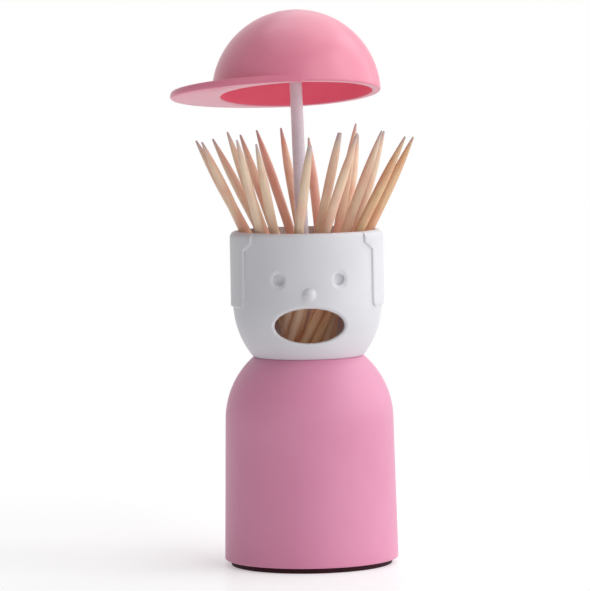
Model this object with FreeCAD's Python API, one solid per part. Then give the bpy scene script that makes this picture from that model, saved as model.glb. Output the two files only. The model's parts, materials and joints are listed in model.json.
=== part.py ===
import FreeCAD, Part
import math
import os
from FreeCAD import Rotation, Vector

# Toothpick dispenser: a doll-like figure whose cap is pulled up to lift and fan out the toothpicks.
# Millimetres, +Z up, the face looks along -Y. The origin is on the ground, on the body's axis.
# The model stands with the cap pulled up as far as it goes.

# ---- body ----
body_base_radius = 20.9      # widest, at the lower edge
shoulder_radius = 20.2       # half-ball shoulder
shoulder_centre_z = 34.9
neck_radius = 13.2           # where the head sits on the shoulder
body_wall = 1.8
neck_seat_thickness = 2.6    # thicker ring round the neck hole
body_edge_round = 0.5
neck_edge_round = 0.3        # both edges of the joint between body and head

# ---- foot and base plug ----
foot_height = 1.3
foot_inset = 1.5             # how far the dark foot stands back under the body
foot_groove_radius = 15.5    # ring groove underneath, for grip
foot_groove_width = 1.5
foot_groove_depth = 0.5
plug_floor = 2.0
plug_skirt_height = 5.0
plug_skirt_wall = 1.4
plug_collar_height = 3.5     # collar that holds the magazine's lower end
plug_collar_wall = 1.2
plug_rib_count = 6
plug_rib_thickness = 1.2

# ---- head ----
head_radius = 17.85
head_height = 30.25          # neck joint to rim
jaw_height = 13.1            # curve from the neck joint up to the cheeks
head_wall = 1.2
rim_round = 0.9
hair_depth = 0.55            # raised panel round the sides and back
hair_rise = 12.3             # panel's lower edge above the neck joint
hair_edge_azimuth = 58.0     # front edge of the panel, from straight ahead
temple_azimuth = 48.5        # the same above the temple notch
temple_low_drop = 4.35       # notch, below the rim
temple_high_drop = 2.45
hair_corner_round = 1.5
hair_edge_round = 0.25
mouth_half_width = 8.25
mouth_half_height = 4.2
mouth_rise = 8.3             # mouth's centre above the neck joint
mouth_lip_round = 0.45
eye_azimuth = 23.3
eye_rise = 19.25
eye_socket_radius = 2.2      # shallow dish round the eye
eye_socket_depth = 0.22
eye_radius = 1.45
eye_depth = 0.75
nose_rise = 15.65
nose_radius = 1.75
nose_sink = 0.35             # centre of the nose ball, inside the face

# ---- toothpicks ----
pick_length = 65.0
pick_diameter = 2.3
pick_taper = 14.5            # length of each pointed end
pick_tip_radius = 0.22
blunt_shortening = 2.5       # a blunt toothpick has lost the end of its point
blunt_picks = (0, 18)
short_cuts = {6: 0.8, 12: 1.4, 14: 1.9, 15: 3.0, 16: 1.2, 17: 2.9}      # some are cut shorter than the rest
pick_lift = 0.3              # foot centre over the lifter's plate
# Two rings of toothpicks: the circle that their feet stand on, the circle that they all pass on the same
# side of the axis, and the bearing of each tip with its lean, in degrees. They stand loosely, so these vary.
outer_ring = {"foot": 7.5, "pass": 5.65,
              "bearings": (-88.0, -58.5, -21.0, 4.0, 35.0, 58.5, 86.5, 119.5, 147.0, 173.5, 200.0, 229.0),
              "leans": (25.7, 24.5, 27.1, 28.0, 25.8, 28.0, 27.7, 24.5, 28.0, 28.0, 28.0, 26.8)}
inner_ring = {"foot": 4.85, "pass": 3.13,
              "bearings": (-21.0, 51.0, 108.5, 154.5, 196.5, 236.5, 298.0),
              "leans": (21.2, 21.7, 19.0, 19.3, 20.9, 23.5, 19.1)}

# ---- magazine tube ----
magazine_clearance = 0.6     # round the toothpicks when they stand upright
magazine_lip_depth = 0.5     # lip that stops the lifter
magazine_wall = 1.1
magazine_rise = 1.6          # above the neck joint
magazine_fit = 0.03          # round the tube, in the plug's collar, the body and the head
lip_below_neck = 5.6

# ---- lifter ----
stop_gap = 0.1
running_fit = 0.08
lifter_plate = 1.6
lifter_skirt = 7.0
lifter_skirt_wall = 1.1
foot_ball_radius = 2.3
foot_ball_mouth = 1.75
foot_ball_depth = 2.6        # ball's centre below the plate's top
socket_wall = 1.4

# ---- stem ----
stem_radius = 1.5
stem_length = 82.0           # between the centres of the two balls
stem_lean = 1.5              # degrees, to the left
top_ball_radius = 2.6
top_ball_mouth = 2.05

# ---- cap ----
dome_radius = 20.2
dome_wall = 2.0
brim_reach = 30.2            # from the dome's centre
brim_thickness = 1.75
brim_edge_round = 0.6
lip_round = 0.45             # lower edge of the dome
cap_tip = 10.0               # degrees, front edge up
ball_height = 11.0           # top ball's centre above the cap's lower edge
boss_wall = 1.4
boss_drop = 3.0              # boss's lower end, below the top ball's centre
insert_radius = 4.2
insert_flange = 0.6
insert_flange_reach = 1.1
insert_rise = 3.8            # insert's upper end, above the top ball's centre
bead_depth = 0.4             # ring round the insert that snaps into the boss
bead_width = 1.0

# ---- worked out from the sizes above ----
pick_radius = pick_diameter / 2
neck_z = shoulder_centre_z + math.sqrt(shoulder_radius ** 2 - neck_radius ** 2)
rim_z = neck_z + head_height
jaw_inset = head_radius - neck_radius
head_jaw_radius = (jaw_height ** 2 + jaw_inset ** 2) / (2 * jaw_inset)
jaw_top_z = neck_z + jaw_height
hair_low_z = neck_z + hair_rise
magazine_lip_radius = outer_ring["foot"] + pick_radius + magazine_clearance
magazine_bore_radius = magazine_lip_radius + magazine_lip_depth
magazine_radius = magazine_bore_radius + magazine_wall
magazine_hole_radius = magazine_radius + magazine_fit
magazine_floor_z = foot_height + plug_floor
lip_z = neck_z - lip_below_neck
lifter_top_z = lip_z - stop_gap
pivot_z = lifter_top_z - foot_ball_depth
pick_foot_z = lifter_top_z + pick_lift

Z = Vector(0, 0, 1)
ORIGIN = Vector(0, 0, 0)
OVERSHOOT = 1.0              # tools for cuts run past the faces they cut


def export(node, shape):
    shape.exportStep(os.path.join("parts", node + ".step"))


def line(a, b):
    return Part.LineSegment(Vector(a[0], 0, a[1]), Vector(b[0], 0, b[1])).toShape()


def arc(a, middle, b):
    points = [Vector(p[0], 0, p[1]) for p in (a, middle, b)]
    return Part.Arc(*points).toShape()


def revolve(edges, degrees=360):
    face = Part.Face(Part.Wire(edges))
    return face.revolve(ORIGIN, Z, degrees)


def polygon_revolve(points):
    return revolve([line(a, b) for a, b in zip(points, points[1:] + points[:1])])


def cylinder(radius, low, high):
    return Part.makeCylinder(radius, high - low, Vector(0, 0, low))


def ball(radius, z=0.0):
    return Part.makeSphere(radius, Vector(0, 0, z))


def on_circle(centre_r, centre_z, radius, r=None, z=None):
    """The point of a circle in the r, z half-plane at a given r (upper side) or z (outer side)."""
    if r is not None:
        return r, centre_z + math.sqrt(radius ** 2 - (r - centre_r) ** 2)
    return centre_r + math.sqrt(radius ** 2 - (z - centre_z) ** 2), z


def mid_angle(centre, radius, a, b):
    """The point of a circle half-way between two of its points."""
    start = math.atan2(a[1] - centre[1], a[0] - centre[0])
    end = math.atan2(b[1] - centre[1], b[0] - centre[0])
    middle = (start + end) / 2
    return centre[0] + radius * math.cos(middle), centre[1] + radius * math.sin(middle)


def round_edges(shape, radius, wanted):
    edges = [e for e in shape.Edges if wanted(e)]
    return shape.makeFillet(radius, edges)


def make_foot_pad():
    pad = cylinder(body_base_radius - foot_inset, 0, foot_height)
    groove = cylinder(foot_groove_radius, -OVERSHOOT, foot_groove_depth)
    groove = groove.cut(cylinder(foot_groove_radius - foot_groove_width, -OVERSHOOT, foot_groove_depth))
    return pad.cut(groove)


def make_body_shell():
    centre = (0.0, shoulder_centre_z)
    inner_shoulder = shoulder_radius - body_wall
    seat_z = neck_z - neck_seat_thickness
    neck_outer = (neck_radius, neck_z)
    shoulder_outer = (shoulder_radius, shoulder_centre_z)
    seat_inner = on_circle(0, shoulder_centre_z, inner_shoulder, z=seat_z)
    shoulder_inner = (inner_shoulder, shoulder_centre_z)
    base_outer = (body_base_radius, foot_height)
    base_inner = (body_base_radius - body_wall, foot_height)
    shell = revolve([
        line((magazine_hole_radius, neck_z), neck_outer),
        arc(neck_outer, mid_angle(centre, shoulder_radius, neck_outer, shoulder_outer), shoulder_outer),
        line(shoulder_outer, base_outer),
        line(base_outer, base_inner),
        line(base_inner, shoulder_inner),
        arc(shoulder_inner, mid_angle(centre, inner_shoulder, shoulder_inner, seat_inner), seat_inner),
        line(seat_inner, (magazine_hole_radius, seat_z)),
        line((magazine_hole_radius, seat_z), (magazine_hole_radius, neck_z)),
    ])

    def is_lower_outer_edge(edge):
        box = edge.BoundBox
        return box.ZMax < foot_height + 0.01 and box.XMax > body_base_radius - 0.01

    def is_neck_edge(edge):
        box = edge.BoundBox
        return box.ZMin > neck_z - 0.01 and box.XMax > neck_radius - 0.01

    shell = round_edges(shell, body_edge_round, is_lower_outer_edge)
    return round_edges(shell, neck_edge_round, is_neck_edge)


def make_base_plug():
    skirt_radius = body_base_radius - body_wall
    taper = (body_base_radius - shoulder_radius) / (shoulder_centre_z - foot_height)
    skirt_top_z = magazine_floor_z + plug_skirt_height
    skirt_top_radius = skirt_radius - taper * (skirt_top_z - foot_height)
    collar_radius = magazine_hole_radius + plug_collar_wall
    collar_top_z = magazine_floor_z + plug_collar_height
    inner_face = skirt_top_radius - plug_skirt_wall
    plug = polygon_revolve([
        (0, foot_height), (skirt_radius, foot_height), (skirt_top_radius, skirt_top_z),
        (inner_face, skirt_top_z), (inner_face, magazine_floor_z),
        (collar_radius, magazine_floor_z), (collar_radius, collar_top_z),
        (magazine_hole_radius, collar_top_z), (magazine_hole_radius, magazine_floor_z), (0, magazine_floor_z),
    ])
    root = plug_collar_wall / 3
    corner = Vector(collar_radius - root, -plug_rib_thickness / 2, magazine_floor_z)
    for k in range(plug_rib_count):
        rib = Part.makeBox(inner_face - collar_radius + 2 * root, plug_rib_thickness, plug_collar_height, corner)
        rib.rotate(ORIGIN, Z, 360 / plug_rib_count * k)
        plug = plug.fuse(rib)
    return plug.removeSplitter()


def make_magazine_tube():
    top_z = neck_z + magazine_rise
    lead_in = magazine_wall / 2
    return polygon_revolve([
        (magazine_bore_radius, magazine_floor_z), (magazine_radius, magazine_floor_z),
        (magazine_radius, top_z - lead_in / 2), (magazine_radius - lead_in / 2, top_z),
        (magazine_lip_radius + lead_in, top_z), (magazine_lip_radius, top_z - lead_in),
        (magazine_lip_radius, lip_z), (magazine_bore_radius, lip_z),
    ])


def head_profile():
    """Edges of the cup's section: jaw curve, cheek, rounded rim, and the same curves one wall further in."""
    outer_centre = (head_radius - head_jaw_radius, jaw_top_z)
    inner_jaw = head_jaw_radius - head_wall
    inner_radius = head_radius - head_wall
    floor_z = neck_z + head_wall
    neck_point = (neck_radius, neck_z)
    cheek_point = (head_radius, jaw_top_z)
    inner_cheek = (inner_radius, jaw_top_z)
    inner_neck = on_circle(outer_centre[0], jaw_top_z, inner_jaw, z=floor_z)
    round_start = (head_radius, rim_z - rim_round)
    round_end = (head_radius - rim_round, rim_z)
    round_centre = (head_radius - rim_round, rim_z - rim_round)
    return [
        line((magazine_hole_radius, neck_z), neck_point),
        arc(neck_point, mid_angle(outer_centre, head_jaw_radius, neck_point, cheek_point), cheek_point),
        line(cheek_point, round_start),
        arc(round_start, mid_angle(round_centre, rim_round, round_start, round_end), round_end),
        line(round_end, (inner_radius, rim_z)),
        line((inner_radius, rim_z), inner_cheek),
        arc(inner_cheek, mid_angle(outer_centre, inner_jaw, inner_cheek, inner_neck), inner_neck),
        line(inner_neck, (magazine_hole_radius, floor_z)),
        line((magazine_hole_radius, floor_z), (magazine_hole_radius, neck_z)),
    ]


def wedge(azimuth, low, high, high_azimuth=None):
    """A wedge with its edge on the axis that opens forwards, to `azimuth` each side of the face."""
    far = 2 * head_radius

    def outline(angle, z):
        a = math.radians(angle)
        side = Vector(far * math.sin(a), -far * math.cos(a), z)
        front = Vector(0, -2 * far, z)
        return Part.makePolygon([Vector(0, 0, z), side, front, Vector(-side.x, side.y, z), Vector(0, 0, z)])

    wires = [outline(azimuth, low), outline(high_azimuth or azimuth, high)]
    return Part.makeLoft(wires, True, True)


def make_hair_panel():
    """The raised panel: a thin ring round the cup with its front cut away."""
    outer = head_radius + hair_depth
    inner = head_radius - head_wall * 0.9
    rounding = rim_round + hair_depth
    round_start = (outer, rim_z - rounding)
    round_end = (outer - rounding, rim_z)
    round_centre = (outer - rounding, rim_z - rounding)
    ring = revolve([
        line((inner, hair_low_z), (outer, hair_low_z)),
        line((outer, hair_low_z), round_start),
        arc(round_start, mid_angle(round_centre, rounding, round_start, round_end), round_end),
        line(round_end, (inner, rim_z)),
        line((inner, rim_z), (inner, hair_low_z)),
    ])
    notch_low = rim_z - temple_low_drop
    notch_high = rim_z - temple_high_drop
    panel = ring.cut(wedge(temple_azimuth, hair_low_z - OVERSHOOT, rim_z + OVERSHOOT))
    panel = panel.cut(wedge(hair_edge_azimuth, hair_low_z - OVERSHOOT, notch_low))
    panel = panel.cut(wedge(hair_edge_azimuth, notch_low, notch_high, temple_azimuth))

    def is_lower_front_corner(edge):
        box = edge.BoundBox
        ahead = math.degrees(math.atan2(abs(edge.CenterOfMass.x), -edge.CenterOfMass.y))
        return box.ZMax < hair_low_z + 0.01 and abs(ahead - hair_edge_azimuth) < 0.5

    panel = round_edges(panel, hair_corner_round, is_lower_front_corner)

    def is_outer_step(edge):
        reach = [math.hypot(v.X, v.Y) for v in edge.Vertexes] + [edge.BoundBox.ZMax]
        return min(reach) > outer - 0.01 and edge.BoundBox.ZMax < rim_z - rounding + 0.01

    return round_edges(panel, hair_edge_round, is_outer_step)


def face_point(azimuth, z, radius=head_radius):
    a = math.radians(azimuth)
    return Vector(radius * math.sin(a), -radius * math.cos(a), z)


def dimple(azimuth, z, radius, depth):
    """A ball that sinks a dish of this radius and depth into the face."""
    ball_radius = (radius ** 2 + depth ** 2) / (2 * depth)
    return Part.makeSphere(ball_radius, face_point(azimuth, z, head_radius - depth + ball_radius))


def make_head():
    head = revolve(head_profile())

    def is_neck_edge(edge):
        box = edge.BoundBox
        return box.ZMax < neck_z + 0.01 and box.XMax > neck_radius - 0.01

    head = round_edges(head, neck_edge_round, is_neck_edge)
    mouth_z = neck_z + mouth_rise
    ellipse = Part.Ellipse(Vector(0, 0, 0), mouth_half_width, mouth_half_height).toShape()
    mouth = Part.Face(Part.Wire([ellipse])).extrude(Vector(0, 0, head_radius + OVERSHOOT))
    mouth.rotate(ORIGIN, Vector(1, 0, 0), 90)
    mouth.translate(Vector(0, 0, mouth_z))
    head = head.cut(mouth)

    def is_outer_lip(edge):
        box = edge.BoundBox
        spans_mouth = box.XMax - box.XMin > mouth_half_width and box.ZMax > mouth_z
        return spans_mouth and box.YMin < -(head_radius - head_wall / 2)

    head = round_edges(head, mouth_lip_round, is_outer_lip)
    head = head.fuse(make_hair_panel())
    for side in (-1, 1):
        eye_z = neck_z + eye_rise
        head = head.cut(dimple(side * eye_azimuth, eye_z, eye_socket_radius, eye_socket_depth))
        head = head.cut(dimple(side * eye_azimuth, eye_z, eye_radius, eye_depth))
    nose_z = neck_z + nose_rise
    nose = Part.makeSphere(nose_radius, face_point(0, nose_z, head_radius - nose_sink))
    inside = cylinder(head_radius - head_wall / 2, nose_z - nose_radius, nose_z + nose_radius)
    return head.fuse(nose.cut(inside)).removeSplitter()


def make_lifter():
    radius = magazine_bore_radius - running_fit
    boss_radius = foot_ball_radius + running_fit + socket_wall
    boss_low = pivot_z - foot_ball_radius - socket_wall
    plate_low = lifter_top_z - lifter_plate
    plate = cylinder(radius, plate_low, lifter_top_z)
    skirt_low = lifter_top_z - lifter_skirt
    skirt = cylinder(radius, skirt_low, lifter_top_z)
    skirt = skirt.cut(cylinder(radius - lifter_skirt_wall, skirt_low - OVERSHOOT, plate_low))
    lifter = plate.fuse(skirt).fuse(cylinder(boss_radius, boss_low, lifter_top_z))
    cavity_radius = foot_ball_radius + running_fit
    mouth_z = on_circle(0, pivot_z, cavity_radius, r=foot_ball_mouth)[1]
    flare = Part.makeCone(foot_ball_mouth, foot_ball_radius, lifter_top_z - mouth_z, Vector(0, 0, mouth_z))
    lifter = lifter.cut(ball(cavity_radius, pivot_z)).cut(flare)
    slot_width = socket_wall / 2
    slot = Part.makeBox(2 * boss_radius, slot_width, boss_radius,
                        Vector(-boss_radius, -slot_width / 2, boss_low - OVERSHOOT))
    return lifter.cut(slot).removeSplitter()


def make_stem():
    """Upright, with the lower ball's centre at the pivot."""
    stem = cylinder(stem_radius, pivot_z, pivot_z + stem_length)
    stem = stem.fuse(ball(foot_ball_radius, pivot_z)).fuse(ball(top_ball_radius, pivot_z + stem_length))
    return stem.removeSplitter()


def bead(centre_z, clearance):
    """The insert's snap ring, or with a clearance the groove for it."""
    root = (insert_radius - bead_depth, bead_width / 2 + clearance + bead_depth)
    crest = (insert_radius + bead_depth + clearance, bead_width / 2 + clearance - bead_depth)
    return polygon_revolve([
        (0, centre_z - root[1]), (root[0], centre_z - root[1]), (crest[0], centre_z - crest[1]),
        (crest[0], centre_z + crest[1]), (root[0], centre_z + root[1]), (0, centre_z + root[1]),
    ])


def make_cap_socket():
    """Upright, with the ball's centre at the origin."""
    cavity_radius = top_ball_radius + running_fit
    low = -boss_drop - insert_flange
    mouth_z = -math.sqrt(cavity_radius ** 2 - top_ball_mouth ** 2)
    flange = cylinder(insert_radius + insert_flange_reach, low, -boss_drop)
    insert = cylinder(insert_radius, low, insert_rise).fuse(flange).fuse(bead(0, 0))
    flare_end = top_ball_mouth + (mouth_z - low) * math.tan(math.radians(2 * cap_tip))
    flare = Part.makeCone(flare_end, top_ball_mouth, mouth_z - low, Vector(0, 0, low))
    return insert.cut(ball(cavity_radius)).cut(flare).removeSplitter()


def make_cap():
    """Upright, with its lower edge on the plane z = 0 and the brim towards -X."""
    inner_radius = dome_radius - dome_wall
    above = cylinder(2 * brim_reach, 0, 2 * dome_radius)
    dome = ball(dome_radius).common(above)
    dome = round_edges(dome, lip_round, lambda edge: edge.BoundBox.ZMax < 0.01)
    span = 2 * brim_reach
    left = Part.makeBox(span, 2 * span, brim_thickness, Vector(-span, -span, 0))
    outline = Part.Ellipse(ORIGIN, brim_reach, dome_radius).toShape()
    plate = Part.Face(Part.Wire([outline])).extrude(Vector(0, 0, brim_thickness)).common(left)

    def is_brim_edge(edge):
        box = edge.BoundBox
        return box.XMin < -brim_reach + 0.01 and box.ZMax - box.ZMin < 0.01

    plate = round_edges(plate, brim_edge_round, is_brim_edge)
    boss_radius = insert_radius + running_fit + boss_wall
    boss_low = ball_height - boss_drop + running_fit
    boss = cylinder(boss_radius, boss_low, dome_radius - dome_wall / 2)
    bore_top = ball_height + insert_rise + running_fit
    bore = cylinder(insert_radius + running_fit, boss_low - OVERSHOOT, bore_top)
    hollow = ball(inner_radius).common(above).cut(boss)
    hollow = hollow.fuse(cylinder(inner_radius, -OVERSHOOT, 0))
    bore = bore.fuse(bead(ball_height, running_fit))
    return dome.fuse(plate).cut(hollow).fuse(boss).cut(bore).removeSplitter()


def lean_towards(shape, pivot, heading, degrees):
    """Leans an upright shape about a pivot, towards a heading in the ground plane."""
    axis = Z.cross(heading)
    shape.rotate(pivot, axis, degrees)


def make_toothpick(length, lost):
    """Upright, with its foot at the origin; `lost` is how much of its upper point is broken off."""
    def taper_middle(r_tip, z_tip, z_full):
        rise = pick_radius - r_tip
        run = abs(z_full - z_tip)
        curve = (run ** 2 + rise ** 2) / (2 * rise)
        half = run / 2
        sag = curve - math.sqrt(curve ** 2 - half ** 2)
        return pick_radius - sag, (z_tip + z_full) / 2

    low = (pick_radius, pick_taper)
    high = (pick_radius, length - pick_taper)
    foot = (pick_tip_radius, 0)
    tip = (pick_tip_radius + (pick_radius - pick_tip_radius) * lost / pick_taper, length - lost)
    return revolve([
        line((0, 0), foot),
        arc(foot, taper_middle(foot[0], foot[1], low[1]), low),
        line(low, high),
        arc(high, taper_middle(tip[0], tip[1], high[1]), tip),
        line(tip, (0, tip[1])),
        line((0, tip[1]), (0, 0)),
    ])


def ring_places(ring):
    """Foot point, heading and lean of each toothpick of a ring; all pass the axis on the same side."""
    run_to_waist = math.sqrt(ring["foot"] ** 2 - ring["pass"] ** 2)
    places = []
    for bearing, lean in zip(ring["bearings"], ring["leans"]):
        run = pick_length * math.sin(math.radians(lean))
        waist = math.radians(bearing) - math.atan2(run - run_to_waist, ring["pass"])
        heading = Vector(-math.sin(waist), math.cos(waist), 0)
        foot = Vector(math.cos(waist), math.sin(waist), 0) * ring["pass"] - heading * run_to_waist
        foot.z = pick_foot_z
        places.append((foot, heading, lean))
    return places


def pick_places():
    return ring_places(outer_ring) + ring_places(inner_ring)


def pivot_point():
    return Vector(0, 0, pivot_z)


def cap_pivot_and_axes():
    """Where the top ball is, the axis that the cap tips about, and the cap's own axis."""
    lean = Rotation(Z.cross(Vector(-1, 0, 0)), stem_lean)
    tip = Rotation(Z.cross(Vector(0, 1, 0)), cap_tip)
    centre = pivot_point() + lean.multVec(Vector(0, 0, stem_length))
    tip_axis = lean.multVec(Z.cross(Vector(0, 1, 0)))
    cap_axis = lean.multVec(tip.multVec(Z))
    return centre, tip_axis, cap_axis


def place_on_stem(shape, shape_height):
    """Takes an upright piece, with its ball centre at `shape_height`, to the leaning stem and tips it."""
    shape.translate(Vector(0, 0, pivot_z + stem_length - shape_height))
    lean_towards(shape, Vector(0, 0, pivot_z + stem_length), Vector(0, 1, 0), cap_tip)
    lean_towards(shape, pivot_point(), Vector(-1, 0, 0), stem_lean)
    return shape


def build():
    export("foot_pad", make_foot_pad())
    export("base_plug", make_base_plug())
    export("body_shell", make_body_shell())
    export("magazine_tube", make_magazine_tube())
    export("head", make_head())
    export("lifter", make_lifter())
    stem = make_stem()
    lean_towards(stem, pivot_point(), Vector(-1, 0, 0), stem_lean)
    export("stem", stem)
    export("cap_socket", place_on_stem(make_cap_socket(), 0))
    export("cap", place_on_stem(make_cap(), ball_height))
    for k, (foot, heading, lean) in enumerate(pick_places()):
        lost = blunt_shortening if k in blunt_picks else 0
        pick = make_toothpick(pick_length - short_cuts.get(k, 0), lost)
        lean_towards(pick, ORIGIN, heading, lean)
        pick.translate(foot)
        export("toothpick_%02d" % (k + 1), pick)


os.makedirs("parts", exist_ok=True)
build()
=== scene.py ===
import bmesh
import bpy
import json
from math import acos, asin, atan2, cos, degrees, hypot, radians, sin, sqrt
from mathutils import Matrix, Vector


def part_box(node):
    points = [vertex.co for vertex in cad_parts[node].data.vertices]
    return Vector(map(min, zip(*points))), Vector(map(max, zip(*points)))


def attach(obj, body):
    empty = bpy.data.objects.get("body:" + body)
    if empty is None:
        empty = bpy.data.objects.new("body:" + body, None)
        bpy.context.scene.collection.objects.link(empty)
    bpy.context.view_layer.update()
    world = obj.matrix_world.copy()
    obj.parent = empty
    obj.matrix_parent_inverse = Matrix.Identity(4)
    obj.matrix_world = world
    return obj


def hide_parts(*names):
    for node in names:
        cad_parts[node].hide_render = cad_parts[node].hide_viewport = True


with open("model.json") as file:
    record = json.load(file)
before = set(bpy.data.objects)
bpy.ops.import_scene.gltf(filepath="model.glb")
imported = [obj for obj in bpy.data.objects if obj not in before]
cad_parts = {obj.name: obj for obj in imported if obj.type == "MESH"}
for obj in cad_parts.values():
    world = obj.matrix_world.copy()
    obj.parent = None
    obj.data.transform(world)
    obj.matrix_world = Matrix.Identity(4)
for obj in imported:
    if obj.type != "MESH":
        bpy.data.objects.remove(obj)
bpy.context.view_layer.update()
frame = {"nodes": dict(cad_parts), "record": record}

mm = 0.001
near = 0.01         # mm: a point this near to a height lies at it
nearRing = 0.05     # mm: the same for its distance from the axis
print("toothpick dispenser: frame loaded,", len(frame["nodes"]), "nodes")


def clearSelection():
    if bpy.context.mode != "OBJECT":
        bpy.ops.object.mode_set(mode="OBJECT")
    bpy.ops.object.select_all(action="DESELECT")


def takeOnly(piece):
    clearSelection()
    piece.select_set(True)
    bpy.context.view_layer.objects.active = piece


def keepPlace():      # an object's place, turn and size go into its mesh
    bpy.ops.object.transform_apply(location=True, rotation=True, scale=True)


def pickFaces(piece, test):     # edit mode: faces whose middle, in mm, passes the test
    bpy.ops.mesh.select_mode(type="FACE")
    bpy.ops.mesh.select_all(action="DESELECT")
    mesh = bmesh.from_edit_mesh(piece.data)
    for face in mesh.faces:
        if test(face.calc_center_median() / mm):
            face.select_set(True)
    bmesh.update_edit_mesh(piece.data)


def pickEdges(piece, test):     # edit mode: edges whose two ends, in mm, both pass the test
    bpy.ops.mesh.select_mode(type="EDGE")
    bpy.ops.mesh.select_all(action="DESELECT")
    mesh = bmesh.from_edit_mesh(piece.data)
    for edge in mesh.edges:
        if all(test(v.co / mm) for v in edge.verts):
            edge.select_set(True)
    bmesh.update_edit_mesh(piece.data)


def pickPoints(piece, test):    # edit mode: points whose place, in mm, passes the test
    bpy.ops.mesh.select_mode(type="VERT")
    bpy.ops.mesh.select_all(action="DESELECT")
    mesh = bmesh.from_edit_mesh(piece.data)
    for v in mesh.verts:
        v.select_set(test(v.co / mm))
    bmesh.update_edit_mesh(piece.data)


def fromAxis(p):
    return hypot(p.x, p.y)


def isOnRing(p, radius, z):
    return abs(p.z - z) < near and abs(fromAxis(p) - radius) < nearRing


def roundEdges(piece, test, width, segments, clamp=True):
    pickEdges(piece, test)
    bpy.ops.mesh.bevel(offset=width * mm, segments=segments, profile=0.5, affect="EDGES",
                       clamp_overlap=clamp)


def closeSeams(gap):     # edit mode: points nearer to each other than the gap, in mm, become one
    bpy.ops.mesh.select_all(action="SELECT")
    bpy.ops.mesh.remove_doubles(threshold=gap * mm)
    bpy.ops.mesh.normals_make_consistent(inside=False)


def arcPoints(centreR, centreZ, radius, fromDeg, toDeg, steps):     # without the first point
    angles = [radians(fromDeg + (toDeg - fromDeg) * k / steps) for k in range(1, steps + 1)]
    return [(centreR + radius * cos(a), centreZ + radius * sin(a)) for a in angles]


def straightPoints(start, end, steps):     # without the first point
    return [(start[0] + (end[0] - start[0]) * k / steps, start[1] + (end[1] - start[1]) * k / steps)
            for k in range(1, steps + 1)]


def degreesAt(across, radius):      # how far round a circle lies the point that is this far from its axis
    return degrees(acos(across / radius))


def pullRings(name, sides, section):
    # a closed section is pulled up ring by ring: a circle, then one extrusion and one scaling a point
    clearSelection()
    fromPole = section[0][0] == 0
    start = section[1] if fromPole else section[0]
    bpy.ops.mesh.primitive_circle_add(vertices=sides, radius=start[0] * mm, location=(0, 0, start[1] * mm),
                                      fill_type="TRIFAN" if fromPole else "NOTHING")
    piece = bpy.context.object
    piece.name = name
    piece.data.name = name
    keepPlace()
    bpy.ops.object.mode_set(mode="EDIT")
    points = section
    if fromPole:
        points = section[1:]
        pickPoints(piece, lambda p: fromAxis(p) < near)
        bpy.ops.transform.translate(value=(0, 0, (section[0][1] - start[1]) * mm))
        pickEdges(piece, lambda p: fromAxis(p) > start[0] * 0.99)
    else:
        bpy.ops.mesh.select_all(action="SELECT")
    for (r, z), (nextR, nextZ) in zip(points, points[1:]):
        bpy.ops.mesh.extrude_edges_move(TRANSFORM_OT_translate={"value": (0, 0, (nextZ - z) * mm)})
        if nextR == 0:
            bpy.ops.mesh.merge(type="CENTER")
        else:
            bpy.ops.transform.resize(value=(nextR / r, nextR / r, 1), center_override=(0, 0, 0))
    closeSeams(0.002)
    return piece


def finishPiece(piece, finishes, body, node, smooth=32):
    takeOnly(piece)
    bpy.ops.object.shade_smooth_by_angle(angle=radians(smooth))
    piece.data.materials.clear()
    for finish in finishes:
        piece.data.materials.append(materials[finish])
    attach(piece, body)
    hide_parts(node)


def hexColour(code):      # sRGB hex to linear
    channels = [int(code[k:k + 2], 16) / 255 for k in (1, 3, 5)]
    return [c / 12.92 if c <= 0.04045 else ((c + 0.055) / 1.055) ** 2.4 for c in channels] + [1.0]


def addNode(tree, kind, settings=None, inputs=None):
    node = tree.nodes.new(kind)
    for key, value in (settings or {}).items():
        setattr(node, key, value)
    for key, value in (inputs or {}).items():
        if isinstance(value, bpy.types.NodeSocket):
            tree.links.new(value, node.inputs[key])
        else:
            node.inputs[key].default_value = value
    return node


def startMaterial(name):
    material = bpy.data.materials.new(name)
    material.use_nodes = True
    material.node_tree.nodes.clear()
    return material, material.node_tree


noiseLow, noiseHigh = 0.3, 0.7      # a noise texture keeps mostly between these
mixColour = {"data_type": "RGBA"}   # a Mix node's colour sockets are 6 and 7, and its colour comes out at 2


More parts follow.
